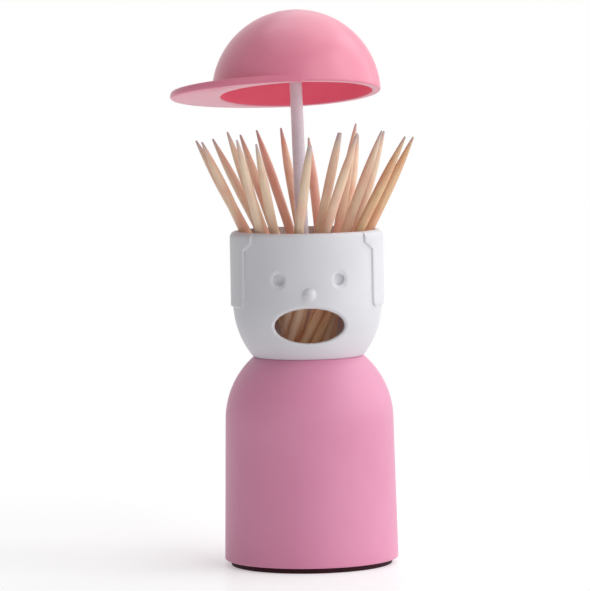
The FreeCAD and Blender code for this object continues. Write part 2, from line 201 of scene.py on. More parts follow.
def mouldedPlastic(name, look):
    # injection-moulded plastic: one colour all through, a spark-eroded grain that softens the gloss, and
    # faint flow clouds
    material, tree = startMaterial(name)
    place = addNode(tree, "ShaderNodeTexCoord").outputs["Object"]
    cloud = addNode(tree, "ShaderNodeTexNoise", inputs={
        "Vector": place, "Scale": 1 / (look["cloudMm"] * mm), "Detail": 3.0})
    spread = addNode(tree, "ShaderNodeMapRange", inputs={
        "Value": cloud.outputs["Fac"], "From Min": noiseLow, "From Max": noiseHigh})
    colour = addNode(tree, "ShaderNodeMix", mixColour, {
        0: spread.outputs["Result"], 6: hexColour(look["dark"]), 7: hexColour(look["light"])})
    # the real grain is about 0.05 mm; it is drawn coarser so that it shows
    grain = addNode(tree, "ShaderNodeTexNoise", inputs={
        "Vector": place, "Scale": 1 / (look["grainMm"] * mm), "Detail": 2.0, "Roughness": 0.6})
    gloss = addNode(tree, "ShaderNodeMapRange", inputs={
        "Value": grain.outputs["Fac"], "From Min": noiseLow, "From Max": noiseHigh,
        "To Min": look["roughness"] - look["roughnessSpread"],
        "To Max": look["roughness"] + look["roughnessSpread"]})
    bump = addNode(tree, "ShaderNodeBump", inputs={
        "Height": grain.outputs["Fac"], "Strength": look["bump"], "Distance": look["bumpMm"] * mm})
    shader = addNode(tree, "ShaderNodeBsdfPrincipled", inputs={
        "Base Color": colour.outputs[2], "Roughness": gloss.outputs["Result"],
        "Normal": bump.outputs["Normal"], "IOR": look["ior"], "Specular IOR Level": look["gloss"],
        "Subsurface Weight": look["subsurface"], "Subsurface Radius": look["scatter"],
        "Subsurface Scale": look["scatterMm"] * mm,
        "Sheen Weight": look["bloom"], "Sheen Roughness": look["bloomRoughness"]})
    if "paintedGlow" in look:      # painted glow: an emission stands in for light that comes through a thin wall and takes its colour
        shader.inputs["Emission Color"].default_value = hexColour(look["paintedGlow"])
        shader.inputs["Emission Strength"].default_value = look["paintedGlowStrength"]
    addNode(tree, "ShaderNodeOutputMaterial", inputs={"Surface": shader.outputs[0]})
    return material


# what the plastics share; ABS and nylon have an IOR of 1.53, rubber 1.52
anyPlastic = {"roughnessSpread": 0.05, "gloss": 0.5, "bloom": 0.0, "bloomRoughness": 0.4, "bumpMm": 0.05,
              "ior": 1.53, "subsurface": 0.0, "scatter": (1.0, 0.9, 0.85), "scatterMm": 1.0}
plastics = {
    "bodyPinkAbs": {"dark": "#E08AAE", "light": "#E592B5", "cloudMm": 18.0, "grainMm": 0.45,
                    "roughness": 0.48, "gloss": 0.7, "bloom": 0.2, "bump": 0.15},
    "capPinkAbs": {"dark": "#E77C98", "light": "#EC829F", "cloudMm": 15.0, "grainMm": 0.45,
                   "roughness": 0.31, "roughnessSpread": 0.03, "gloss": 0.7, "bloom": 0.1, "bump": 0.06},
    # the hollow's skin, with painted light: a deeper pink copy of the cap's colour and a pink emission glow
    # stand in for light that comes through the wall
    "capHollowPaintedGlow": {"dark": "#D86079", "light": "#DE6A83", "cloudMm": 12.0, "grainMm": 0.45,
                      "roughness": 0.55, "bump": 0.15, "paintedGlow": "#FF5977", "paintedGlowStrength": 0.155},
    "headWhiteAbs": {"dark": "#DEDEE3", "light": "#E4E4E8", "cloudMm": 12.0, "grainMm": 0.4,
                     "roughness": 0.52, "bump": 0.12, "bumpMm": 0.04, "subsurface": 0.05},
    "stemWhiteAbs": {"dark": "#DAD1DA", "light": "#E2DAE3", "cloudMm": 6.0, "grainMm": 0.35,
                     "roughness": 0.28, "bump": 0.08, "bumpMm": 0.03, "subsurface": 0.05,
                     "scatter": (1.0, 0.85, 0.85)},
    "socketNylon": {"dark": "#D3CFC6", "light": "#DFDBD2", "cloudMm": 4.0, "grainMm": 0.3,
                    "roughness": 0.46, "bump": 0.12, "bumpMm": 0.03, "subsurface": 0.1,
                    "scatter": (1.0, 0.9, 0.75), "scatterMm": 1.2},
    "magazineAbs": {"dark": "#DADBDD", "light": "#E3E4E6", "cloudMm": 9.0, "grainMm": 0.4,
                    "roughness": 0.45, "roughnessSpread": 0.04, "bump": 0.12, "bumpMm": 0.03,
                    "subsurface": 0.05},
    "plugAbs": {"dark": "#D47C9A", "light": "#DC86A4", "cloudMm": 14.0, "grainMm": 0.5,
                "roughness": 0.55, "bump": 0.25, "bumpMm": 0.06},
    "footRubber": {"dark": "#2A0812", "light": "#360D19", "cloudMm": 5.0, "grainMm": 0.3,
                   "roughness": 0.8, "roughnessSpread": 0.06, "gloss": 0.3, "bump": 0.4, "ior": 1.52},
}
materials = {name: mouldedPlastic(name, {**anyPlastic, **look}) for name, look in plastics.items()}
print("plastics mixed:", len(plastics))

# these are right as they are in the frame, and mostly hidden
innerFinishes = {"cap_socket": "socketNylon", "lifter": "socketNylon", "magazine_tube": "magazineAbs",
                 "base_plug": "plugAbs"}
for node, finish in innerFinishes.items():
    frame["nodes"][node].data.materials.clear()
    frame["nodes"][node].data.materials.append(materials[finish])
print("inner parts finished")


# pink body: an open bell with a tapered wall and a half-ball shoulder
bodyLook = {"sides": 128, "baseZ": 1.3, "baseRadius": 20.9, "shoulderRadius": 20.2, "shoulderZ": 34.9,
            "wall": 1.8, "neckRadius": 13.2, "seat": 2.6, "hole": 10.88, "baseRound": 0.5, "neckRound": 0.3,
            "wallSteps": 12, "shoulderSteps": 22, "innerSteps": 14}


def modelBody():
    b = bodyLook
    topZ = b["shoulderZ"] + sqrt(b["shoulderRadius"] ** 2 - b["neckRadius"] ** 2)
    seatZ = topZ - b["seat"]
    inner = b["shoulderRadius"] - b["wall"]
    outerEnd = degreesAt(b["neckRadius"], b["shoulderRadius"])
    innerEnd = 90 - degreesAt(seatZ - b["shoulderZ"], inner)
    base = (b["baseRadius"], b["baseZ"])
    section = [(b["baseRadius"] - b["wall"], b["baseZ"]), base]
    section += straightPoints(base, (b["shoulderRadius"], b["shoulderZ"]), b["wallSteps"])
    section += arcPoints(0, b["shoulderZ"], b["shoulderRadius"], 0, outerEnd, b["shoulderSteps"])
    section += [(b["hole"], topZ), (b["hole"], seatZ), (inner * cos(radians(innerEnd)), seatZ)]
    section += arcPoints(0, b["shoulderZ"], inner, innerEnd, 0, b["innerSteps"])
    section += [section[0]]
    body = pullRings("bodyShell", b["sides"], section)
    roundEdges(body, lambda p: isOnRing(p, b["baseRadius"], b["baseZ"]), b["baseRound"], segments=4)
    roundEdges(body, lambda p: isOnRing(p, b["neckRadius"], topZ), b["neckRound"], segments=3)
    finishPiece(body, ["bodyPinkAbs"], "base", "body_shell")


modelBody()
print("body pulled up")


# dark foot: a disc with a grip groove underneath
footLook = {"sides": 128, "radius": 19.4, "height": 1.3, "groove": 15.5, "grooveWidth": 1.5,
            "grooveDepth": 0.5, "round": 0.25}


def modelFoot():
    f = footLook
    grooveInner = f["groove"] - f["grooveWidth"]
    section = [(0, f["height"]), (f["radius"] * 0.5, f["height"]), (f["radius"], f["height"]),
               (f["radius"], 0), (f["groove"], 0), (f["groove"], f["grooveDepth"]),
               (grooveInner, f["grooveDepth"]), (grooveInner, 0), (f["groove"] * 0.4, 0), (0, 0)]
    foot = pullRings("footPad", f["sides"], section)
    roundEdges(foot, lambda p: isOnRing(p, f["radius"], 0), f["round"], segments=3)
    finishPiece(foot, ["footRubber"], "base", "foot_pad")


modelFoot()
print("foot cut")

# the frame's joints say where the stem, the cap and the toothpicks stand when the cap is up
joints = frame["record"]["behaviour"]["joints"]
jointOf = {j["name"]: j for j in joints}


def turnFrom(joint):      # from a joint's low limit, where the piece is upright, to rest
    return Matrix.Rotation(-radians(joint["range_deg"][0]), 4, Vector(joint["axis"]))


leanTurn = turnFrom(jointOf["stem_lean"])
tipTurn = turnFrom(jointOf["cap_tip"])
footBall = Matrix.Translation(jointOf["stem_lean"]["pos_m"])
topBall = Matrix.Translation(jointOf["cap_tip"]["pos_m"])


def standPiece(piece, place):      # an upright piece goes to its place, and the place is kept in its mesh
    takeOnly(piece)
    piece.matrix_world = place
    keepPlace()


# white rod with a ball at each end
stemLook = {"sides": 40, "rod": 1.5, "footBall": 2.3, "topBall": 2.6, "length": 82.0,
            "poleAngle": 84, "ballSteps": 16, "rodSteps": 10}


def modelStem():
    s = stemLook
    lowJoin = degreesAt(s["rod"], s["footBall"])
    highJoin = degreesAt(s["rod"], s["topBall"])
    section = [(0, -s["footBall"])] + arcPoints(0, 0, s["footBall"], -90, lowJoin, s["ballSteps"])
    lowZ = section[-1][1]
    highZ = s["length"] - s["topBall"] * sin(radians(highJoin))
    section += straightPoints((s["rod"], lowZ), (s["rod"], highZ), s["rodSteps"])
    section += arcPoints(0, s["length"], s["topBall"], -highJoin, s["poleAngle"], s["ballSteps"])
    section += [(0, s["length"] + s["topBall"])]
    stem = pullRings("stemRod", s["sides"], section)
    standPiece(stem, footBall @ leanTurn)
    finishPiece(stem, ["stemWhiteAbs"], "stem", "stem")


modelStem()
print("stem pulled")


# pink cap: a half-ball shell with a boss for the stem's ball, and a brim drawn out of its lower edge
capLook = {"sides": 144, "radius": 20.2, "wall": 2.0, "brimReach": 30.2, "brimThickness": 1.75,
           "brimRound": 0.7, "lipRound": 0.45, "innerRound": 0.15, "ballHeight": 11.0, "boss": 5.68,
           "bore": 4.28, "bossLow": 8.08, "boreTop": 14.88, "poleAngle": 86, "domeSteps": 30,
           "hollowSteps": 24, "brimSteps": 4, "pickMargin": 0.5}


def modelCap():
    c = capLook
    inner = c["radius"] - c["wall"]
    brimAngle = 90 - degreesAt(c["brimThickness"], c["radius"])
    bossAngle = 90 - degreesAt(sqrt(inner ** 2 - c["boss"] ** 2), inner)
    section = [(0, c["radius"])] + arcPoints(0, 0, c["radius"], c["poleAngle"], brimAngle, c["domeSteps"])
    section += [(c["radius"], 0), (inner, 0)]
    section += arcPoints(0, 0, inner, 0, bossAngle, c["hollowSteps"])
    section += [(c["boss"], c["bossLow"]), (c["bore"], c["bossLow"]), (c["bore"], c["boreTop"]),
                (0, c["boreTop"])]
    cap = pullRings("capShell", c["sides"], section)
    # the brim: half of the lower band is drawn out along X, so that its outline is half an ellipse
    pickFaces(cap, lambda p: p.x < 0 and 0 < p.z < c["brimThickness"]
              and fromAxis(p) > c["radius"] - c["pickMargin"])
    half = c["brimThickness"] / 2
    flatEnd = c["brimReach"] - c["brimRound"]
    steps = [(flatEnd, half)]
    for k in range(1, c["brimSteps"] + 1):      # its edge is a quarter turn, above and below
        turn = radians(90 / c["brimSteps"] * k)
        steps.append((c["brimReach"] - c["brimRound"] * (1 - sin(turn)),
                      half - c["brimRound"] * (1 - cos(turn))))
    reach, thick = c["radius"], half
    for nextReach, nextHalf in steps:
        bpy.ops.mesh.extrude_region_move(TRANSFORM_OT_translate={"value": (0, 0, 0)})
        bpy.ops.transform.resize(value=(nextReach / reach, 1, nextHalf / thick),
                                 center_override=(0, 0, half * mm))
        reach, thick = nextReach, nextHalf
    closeSeams(0.004)
    roundEdges(cap, lambda p: p.x > c["pickMargin"] and isOnRing(p, c["radius"], 0), c["lipRound"],
               segments=4)
    roundEdges(cap, lambda p: isOnRing(p, inner, 0), c["innerRound"], segments=2)
    pickFaces(cap, lambda p: p.z > c["innerRound"] + near and p.length < inner + nearRing)
    hollow = [f.index for f in bmesh.from_edit_mesh(cap.data).faces if f.select]
    standPiece(cap, topBall @ tipTurn @ leanTurn @ Matrix.Translation((0, 0, -c["ballHeight"] * mm)))
    finishPiece(cap, ["capPinkAbs", "capHollowPaintedGlow"], "cap", "cap")
    # the hollow's faces get the second finish, the deeper pink with the painted glow
    for index in hollow:
        cap.data.polygons[index].material_index = 1


modelCap()
print("cap pulled, brim drawn out")


# white head: a cup with a rounded rim, a raised hair panel round its back, a mouth, two eyes and a nose.
# Angles are bearings from straight ahead. Each eye is a dish with a deeper dimple punched in it, and a boss
# behind the wall leaves room for them
headLook = {"sides": 180, "neckZ": 50.19, "neckRadius": 13.2, "radius": 17.85, "height": 30.25, "jaw": 13.1,
            "wall": 1.2, "hole": 10.88, "rimRound": 0.9, "neckRound": 0.3,
            "hairDepth": 0.55, "hairRise": 12.3, "hairAngle": 58.0, "templeAngle": 48.0,
            "notchLow": 4.35, "notchHigh": 2.45, "hairCorner": 1.5, "hairEdge": 0.28,
            "mouthHalfWidth": 8.25, "mouthHalfHeight": 4.2, "mouthRise": 8.3, "lipRound": 1.1,
            "eyeAngle": 24.2, "eyeRise": 19.25, "dishRadius": 2.3, "dishDepth": 0.55, "eyeRadius": 1.45,
            "eyeDepth": 1.45, "eyeFloor": 1.0, "eyeCorner": 0.4,
            "eyeFlare": 0.3, "punchHeight": 3, "bossRadius": 2.5, "bossDepth": 2.3, "bossRound": 0.5,
            "bossShort": 0.6, "noseRise": 15.8, "noseRadius": 1.65, "noseSink": 0.35, "noseCut": 0.6,
            "jawSteps": 14, "wallSteps": 12, "rimSteps": 6, "innerSteps": 8, "floorSteps": 10}
neckZ, rimZ = headLook["neckZ"], headLook["neckZ"] + headLook["height"]
jawZ, hairZ = neckZ + headLook["jaw"], neckZ + headLook["hairRise"]
notchLow, notchHigh = rimZ - headLook["notchLow"], rimZ - headLook["notchHigh"]
wallTop = rimZ - headLook["rimRound"]
jawInset = headLook["radius"] - headLook["neckRadius"]
jawBend = (headLook["jaw"] ** 2 + jawInset ** 2) / (2 * jawInset)      # the jaw is an arc with this radius
jawCentre = headLook["radius"] - jawBend


def facePoint(angle, z, radius):      # a point of the face, in mm, from its bearing to straight ahead
    return Vector((radius * sin(radians(angle)), -radius * cos(radians(angle)), z))


def bearing(p):
    return degrees(atan2(abs(p.x), -p.y))


def modelCup():
    h = headLook
    innerBend = jawBend - h["wall"]
    innerWall = h["radius"] - h["wall"]
    floorZ = neckZ + h["wall"]
    angleAt = lambda z, r: degrees(asin((z - jawZ) / r))
    section = [(h["hole"], neckZ), (h["neckRadius"], neckZ)]
    hairStart = angleAt(hairZ, jawBend)
    section += arcPoints(jawCentre, jawZ, jawBend, angleAt(neckZ, jawBend), hairStart, h["jawSteps"])
    section += arcPoints(jawCentre, jawZ, jawBend, hairStart, 0, 1)
    bands = ((jawZ, notchLow, h["wallSteps"]), (notchLow, notchHigh, 2), (notchHigh, wallTop, 2))
    for low, high, steps in bands:
        section += straightPoints((h["radius"], low), (h["radius"], high), steps)
    section += arcPoints(h["radius"] - h["rimRound"], wallTop, h["rimRound"], 0, 90, h["rimSteps"])
    section += [(innerWall, rimZ)]
    section += straightPoints((innerWall, rimZ), (innerWall, jawZ), h["innerSteps"])
    section += arcPoints(jawCentre, jawZ, innerBend, 0, angleAt(floorZ, innerBend), h["floorSteps"])
    section += [(h["hole"], floorZ), (h["hole"], neckZ)]
    head = pullRings("headCup", h["sides"], section)
    roundEdges(head, lambda p: isOnRing(p, h["neckRadius"], neckZ), h["neckRound"], segments=3)
    return head


# how far round a cut its faces are taken, and how far off the panel's lines a point may be and still count
# as on them, in mm and degrees; a seam is a gap that is closed
cutMargin = {"depth": 0.6, "height": 0.9, "turn": 1.5}
hairSlack = {"height": 0.02, "ring": 0.03, "skin": 0.06, "turn": 0.3, "edgeTurn": 0.25,
             "cutSeam": 0.06, "panelSeam": 0.03}


def cutAcross(piece, side, start, end, radius):
    # one straight cut between two points of the face, through the faces that lie between them
    low, high = sorted((start[1], end[1]))
    front, back = sorted((start[0], end[0]))
    c = cutMargin
    pickFaces(piece, lambda p: p.x * side > 0 and fromAxis(p) > radius - c["depth"]
              and low - c["height"] < p.z < high + c["height"]
              and front - c["turn"] < bearing(p) < back + c["turn"])
    a = facePoint(side * start[0], start[1], radius)
    b = facePoint(side * end[0], end[1], radius)
    outward = facePoint(side * (start[0] + end[0]) / 2, 0, 1)
    bpy.ops.mesh.bisect(plane_co=a * mm, plane_no=(b - a).cross(outward).normalized())


def raiseHair(head):
    h, slack = headLook, hairSlack
    # outline of the panel: bearing and height, from its lower corner to just past the rim
    cornerTurn = degrees(h["hairCorner"] / h["radius"])
    outline = [(h["hairAngle"] + cornerTurn * (1 - cos(radians(a))),
                hairZ + h["hairCorner"] * (1 - sin(radians(a)))) for a in (90, 60, 30, 0)]
    outline += [(h["hairAngle"], notchLow), (h["templeAngle"], notchHigh), (h["templeAngle"], rimZ + 1)]
    for side in (-1, 1):
        for k in (0, 1, 2, 4):      # the other lines of it lie on the cup's own rings and sides
            cutAcross(head, side, outline[k], outline[k + 1], h["radius"])

    def edgeBearing(z):
        for (a, za), (b, zb) in zip(outline, outline[1:]):
            if za <= z <= zb:
                return a + (b - a) * (z - za) / (zb - za)
        return outline[0][0]

    bpy.ops.mesh.select_all(action="SELECT")
    bpy.ops.mesh.remove_doubles(threshold=slack["cutSeam"] * mm)
    pickFaces(head, lambda p: p.z > hairZ and fromAxis(p) > h["radius"] - h["rimRound"] - slack["height"]
              and bearing(p) > edgeBearing(p.z))
    grow = (h["radius"] + h["hairDepth"]) / h["radius"]
    bpy.ops.mesh.extrude_region_move(TRANSFORM_OT_translate={"value": (0, 0, 0)})
    bpy.ops.transform.resize(value=(grow, grow, 1), center_override=(0, 0, 0))
    # the panel's own rim is rounder, and it meets the cup's rim at the top
    newRound = h["rimRound"] + h["hairDepth"]
    middle = h["radius"] - h["rimRound"]
    for k in range(h["rimSteps"] + 1):
        turn = radians(90 / h["rimSteps"] * k)
        wasR, wasZ = (middle + h["rimRound"] * cos(turn)) * grow, wallTop + h["rimRound"] * sin(turn)
        nowR, nowZ = middle + newRound * cos(turn), rimZ - newRound + newRound * sin(turn)
        pickPoints(head, lambda p: abs(p.z - wasZ) < near and abs(fromAxis(p) - wasR) < slack["ring"]
                   and bearing(p) > h["templeAngle"] - slack["turn"])
        bpy.ops.transform.resize(value=(nowR / wasR, nowR / wasR, 1), center_override=(0, 0, 0))
        bpy.ops.transform.translate(value=(0, 0, (nowZ - wasZ) * mm))
    closeSeams(slack["panelSeam"])

    def isPanelEdge(p):
        isFront = (abs(bearing(p) - edgeBearing(p.z)) < slack["edgeTurn"]
                   and p.z > hairZ - slack["height"])
        isLow = abs(p.z - hairZ) < slack["height"] and bearing(p) > outline[0][0] - slack["turn"]
        return (isFront or isLow) and p.z < rimZ - newRound + near

    outer = h["radius"] + h["hairDepth"] - slack["skin"]
    roundEdges(head, lambda p: fromAxis(p) > outer and isPanelEdge(p), h["hairEdge"], segments=3,
               clamp=False)
    bpy.ops.object.mode_set(mode="OBJECT")


def useTool(piece, tool, how="DIFFERENCE"):      # boolean by hand: modifier, apply, drop the tool
    takeOnly(piece)
    cut = piece.modifiers.new("cut", "BOOLEAN")
    cut.object = tool
    cut.operation = how
    cut.solver = "EXACT"
    bpy.ops.object.modifier_apply(modifier=cut.name)
    bpy.data.objects.remove(tool)


barEnds = (-30.0, -9.0)      # mm: where the bar that cuts the mouth starts and ends, along Y


def cutMouth(head):
    # an oval bar is pushed through the front; it flares out at the skin, so that the lip is rounded
    h = headLook
    mouthZ = neckZ + h["mouthRise"]
    skinAt = lambda z: h["radius"] if z > jawZ else jawCentre + sqrt(jawBend ** 2 - (z - jawZ) ** 2)
    flare = [(h["lipRound"] * (1 - sin(radians(a))), h["lipRound"] * (1 - cos(radians(a))))
             for a in range(12, 91, 13)]      # degrees round the lip
    rings = [(flare[0][0], 0)] + flare + [(0, 0)]      # of each ring: how much wider, and how deep
    flatAt = {0: barEnds[0], len(rings) - 1: barEnds[1]}
    clearSelection()
    bpy.ops.mesh.primitive_circle_add(vertices=120, radius=mm, fill_type="NGON",
                                      rotation=(radians(90), 0, 0))
    bar = bpy.context.object
    keepPlace()
    bpy.ops.object.mode_set(mode="EDIT")
    bpy.ops.mesh.select_all(action="SELECT")
    for ring in rings[1:]:
        bpy.ops.mesh.extrude_region_move(TRANSFORM_OT_translate={"value": (0, mm, 0)})
    bpy.ops.mesh.select_all(action="SELECT")
    bpy.ops.mesh.normals_make_consistent(inside=False)
    mesh = bmesh.from_edit_mesh(bar.data)
    for v in mesh.verts:      # each ring is widened, and laid at its own depth under the curved skin
        k = round(v.co.y / mm)
        wider, deep = rings[k]
        x = v.co.x / mm * (h["mouthHalfWidth"] + wider)
        z = mouthZ + v.co.z / mm * (h["mouthHalfHeight"] + wider)
        y = flatAt.get(k, -sqrt((skinAt(z) - deep) ** 2 - x ** 2))
        v.co = Vector((x, y, z)) * mm
    bmesh.update_edit_mesh(bar.data)
    bpy.ops.object.mode_set(mode="OBJECT")
    useTool(head, bar)


def pressEyes(head):
    h = headLook
    ball = (h["dishRadius"] ** 2 + h["dishDepth"] ** 2) / (2 * h["dishDepth"])
    flat, corner = h["eyeFloor"], h["eyeCorner"]
    punch = [(0, 0), (flat * 0.5, 0), (flat, 0)] + arcPoints(flat, corner, corner, -90, 0, 6)
    punch += [(h["eyeRadius"], h["eyeDepth"]), (h["eyeRadius"] + h["eyeFlare"], h["punchHeight"]),
              (0, h["punchHeight"])]
    bossEnd = h["bossDepth"] - h["bossShort"]
    back = [(0, 0), (h["bossRadius"] * 0.5, 0)]
    back += arcPoints(h["bossRadius"] - h["bossRound"], h["bossRound"], h["bossRound"], -90, 0, 4)
    back += [(h["bossRadius"], bossEnd), (0, bossEnd)]
    for side in (-1, 1):
        aside = Matrix.Rotation(radians(side * h["eyeAngle"]), 4, "Z")
        turned = aside @ Matrix.Rotation(radians(90), 4, "X")

        def placeAt(radius):
            spot = facePoint(side * h["eyeAngle"], neckZ + h["eyeRise"], radius)
            return Matrix.Translation(spot * mm) @ turned

        boss = pullRings("eyeBoss", 48, back)
        standPiece(boss, placeAt(h["radius"] - h["bossDepth"]))
        useTool(head, boss, "UNION")
        clearSelection()
        bpy.ops.mesh.primitive_uv_sphere_add(segments=64, ring_count=96, radius=ball * mm)
        dish = bpy.context.object
        standPiece(dish, placeAt(h["radius"] - h["dishDepth"] + ball))
        useTool(head, dish)
        tool = pullRings("eyePunch", 64, punch)
        standPiece(tool, placeAt(h["radius"] - h["eyeDepth"]))
        useTool(head, tool)


def addNose(head):      # a ball, cut off flat inside the wall
    h = headLook
    clearSelection()
    bpy.ops.mesh.primitive_uv_sphere_add(
        segments=48, ring_count=32, radius=h["noseRadius"] * mm,
        location=facePoint(0, neckZ + h["noseRise"], h["radius"] - h["noseSink"]) * mm)
    nose = bpy.context.object
    keepPlace()
    bpy.ops.object.mode_set(mode="EDIT")
    bpy.ops.mesh.select_all(action="SELECT")
    bpy.ops.mesh.bisect(plane_co=(0, -(h["radius"] - h["wall"] * h["noseCut"]) * mm, 0),
                        plane_no=(0, 1, 0), use_fill=True, clear_outer=True)
    bpy.ops.object.mode_set(mode="OBJECT")
    useTool(head, nose, "UNION")


def modelHead():
    head = modelCup()
    raiseHair(head)
    cutMouth(head)
    pressEyes(head)
    addNose(head)
    toolSeam = 0.005 * mm      # the tools leave points on top of each other
    takeOnly(head)
    bpy.ops.object.mode_set(mode="EDIT")
    bpy.ops.mesh.select_all(action="SELECT")
    bpy.ops.mesh.remove_doubles(threshold=toolSeam)
    bpy.ops.mesh.dissolve_degenerate(threshold=toolSeam)
    bpy.ops.object.mode_set(mode="OBJECT")
    finishPiece(head, ["headWhiteAbs"], "base", "head", smooth=30)
    even = head.modifiers.new("even", "WEIGHTED_NORMAL")
    even.keep_sharp = True
    bpy.ops.object.modifier_apply(modifier=even.name)


modelHead()
print("head cut and finished")


def birch(name, look):
    # turned birch: pale pinkish wood, long fine fibres along the stick, pinker patches, greyer at the
    # point, and a faint painted glow
    g = grainLook
    material, tree = startMaterial(name)
    place = addNode(tree, "ShaderNodeAttribute", {"attribute_name": "stickPlace"}).outputs["Vector"]
    drawnOut = addNode(tree, "ShaderNodeMapping", inputs={
        "Vector": place, "Scale": (1.0, 1.0, g["drawnOut"])})
    fibre = addNode(tree, "ShaderNodeTexNoise", inputs={
        "Vector": drawnOut.outputs["Vector"], "Scale": 1 / (g["fibreMm"] * mm), "Detail": 3.0,
        "Roughness": 0.6})
    band = addNode(tree, "ShaderNodeTexNoise", inputs={
        "Vector": drawnOut.outputs["Vector"], "Scale": 1 / (g["bandMm"] * mm), "Detail": 1.0})
    spread = addNode(tree, "ShaderNodeMapRange", inputs={
        "Value": band.outputs["Fac"], "From Min": noiseLow, "From Max": noiseHigh})
    colour = addNode(tree, "ShaderNodeMix", mixColour, {
        0: spread.outputs["Result"], 6: hexColour(look["dark"]), 7: hexColour(look["light"])})
    patch = addNode(tree, "ShaderNodeTexNoise", inputs={
        "Vector": place, "Scale": 1 / (g["blushMm"] * mm), "Detail": 1.0})
    blush = addNode(tree, "ShaderNodeMapRange", inputs={
        "Value": patch.outputs["Fac"], "From Min": g["blushFrom"], "From Max": g["blushFull"]})
    blushed = addNode(tree, "ShaderNodeMix", mixColour, {
        0: blush.outputs["Result"], 6: colour.outputs[2], 7: hexColour(look["blush"])})
    depth = addNode(tree, "ShaderNodeMapRange", inputs={
        "Value": fibre.outputs["Fac"], "From Min": g["veinFrom"], "From Max": g["veinFull"],
        "To Max": g["fibreDepth"]})
    veined = addNode(tree, "ShaderNodeMix", mixColour, {
        0: depth.outputs["Result"], 6: blushed.outputs[2], 7: hexColour(look["vein"])})
    tip = addNode(tree, "ShaderNodeAttribute", {"attribute_name": "tipNearness"}).outputs["Fac"]
    greyed = addNode(tree, "ShaderNodeMix", mixColour, {
        0: tip, 6: veined.outputs[2], 7: hexColour(look["tip"])})
    bump = addNode(tree, "ShaderNodeBump", inputs={
        "Height": fibre.outputs["Fac"], "Strength": 0.5, "Distance": g["bumpMm"] * mm})
    rough = addNode(tree, "ShaderNodeMapRange", inputs={
        "Value": fibre.outputs["Fac"], "From Min": noiseLow, "From Max": noiseHigh,
        "To Min": g["smoothest"], "To Max": g["roughest"]})
    # painted glow: a faint warm emission stands in for the light that thin wood lets through
    shader = addNode(tree, "ShaderNodeBsdfPrincipled", inputs={
        "Base Color": greyed.outputs[2], "Roughness": rough.outputs["Result"],
        "Normal": bump.outputs["Normal"], "IOR": 1.5,
        "Emission Color": hexColour(g["paintedGlow"]), "Emission Strength": g["paintedGlowStrength"]})
    addNode(tree, "ShaderNodeOutputMaterial", inputs={"Surface": shader.outputs[0]})
    return material


woods = {
    "birchPale": {"dark": "#E4CAAE", "light": "#F3DDC5", "blush": "#ECC5AD", "vein": "#CBAA8E",
                  "tip": "#BAB1B5"},
    "birchWarm": {"dark": "#E8C7A9", "light": "#F5DDC3", "blush": "#ECB8A3", "vein": "#CB9E7D",
                  "tip": "#BDACAF"},
    "birchRed": {"dark": "#E7B9A7", "light": "#F0CAB8", "blush": "#E7B09E", "vein": "#CA9785",
                 "tip": "#B5A7AC"},
    "birchHoney": {"dark": "#D9AC80", "light": "#E4C39E", "blush": "#DFA686", "vein": "#B2865A",
                   "tip": "#BBA9A2"},
}
# real fibres are about 0.1 mm wide; they are drawn coarser so that they show, and 17 times as long as wide
# its last two entries are a painted glow, a faint warm emission that stands in for light coming through the
# thin wood
grainLook = {"fibreMm": 0.3, "drawnOut": 0.06, "bandMm": 1.6, "blushMm": 7.0, "blushFrom": 0.45,
             "blushFull": 0.7, "veinFrom": 0.5, "veinFull": 0.72, "fibreDepth": 0.42, "bumpMm": 0.08,
             "smoothest": 0.55, "roughest": 0.75, "paintedGlow": "#FFB17C", "paintedGlowStrength": 0.03}
for name, look in woods.items():
    materials[name] = birch(name, look)

# round toothpicks, pointed at both ends; a blunt one has lost the end of its point. The pattern is one and
# the same, and each stick is turned and moved along it by a step more than the last (radians and metres)
pickLook = {"diameter": 2.3, "taper": 14.5, "tipRadius": 0.22, "around": 20, "tipSteps": 8, "lost": 2.5,
            "bluntSticks": (1, 19), "greyLength": 4.2, "greyShare": 0.85, "turnStep": 2.4,
            "grainStep": 0.013}
tones = {"birchRed": (7, 8), "birchHoney": (3, 4), "birchWarm": (2, 6, 11, 14, 15, 16, 17)}
toneOf = {number: tone for tone, numbers in tones.items() for number in numbers}
foldJoints = {j["child"]: j for j in joints if j["child"].startswith("toothpick")}


def pickLength(node):      # in mm, from how high the leaning stick reaches over its foot
    joint = foldJoints[node]
    lean = radians(joint["range_deg"][0])
    reach = (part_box(node)[1].z - joint["pos_m"][2]) / mm
    return round((reach - pickLook["tipRadius"] * sin(abs(lean))) / cos(lean), 1)


def modelPick(name, length, lost):
    # a round bar, cut into rings that are drawn in towards each point
    p, steps = pickLook, pickLook["tipSteps"]
    radius = p["diameter"] / 2
    clearSelection()
    bpy.ops.mesh.primitive_cylinder_add(vertices=p["around"], radius=radius * mm, depth=length * mm,
                                        location=(0, 0, length / 2 * mm), end_fill_type="TRIFAN")
    pick = bpy.context.object
    pick.name = name
    keepPlace()
    bpy.ops.object.mode_set(mode="EDIT")
    low = [p["taper"] * k / steps for k in range(1, steps + 1)]
    middle = [length * k / 8 for k in (3, 4, 5)]
    high = [length - (p["taper"] - lost) * k / steps for k in range(1, steps + 1)]
    for height in low + middle + high:
        bpy.ops.mesh.select_all(action="SELECT")
        bpy.ops.mesh.bisect(plane_co=(0, 0, height * mm), plane_no=(0, 0, 1))
    for height in [0.0] + low + high + [length]:
        fromTip = min(height, length - height + lost)
        if fromTip < p["taper"]:
            wanted = radius - (radius - p["tipRadius"]) * (1 - fromTip / p["taper"]) ** 2
            pickPoints(pick, lambda point: abs(point.z - height) < near)
            bpy.ops.transform.resize(value=(wanted / radius, wanted / radius, 1), center_override=(0, 0, 0))
    bpy.ops.object.mode_set(mode="OBJECT")
    return pick


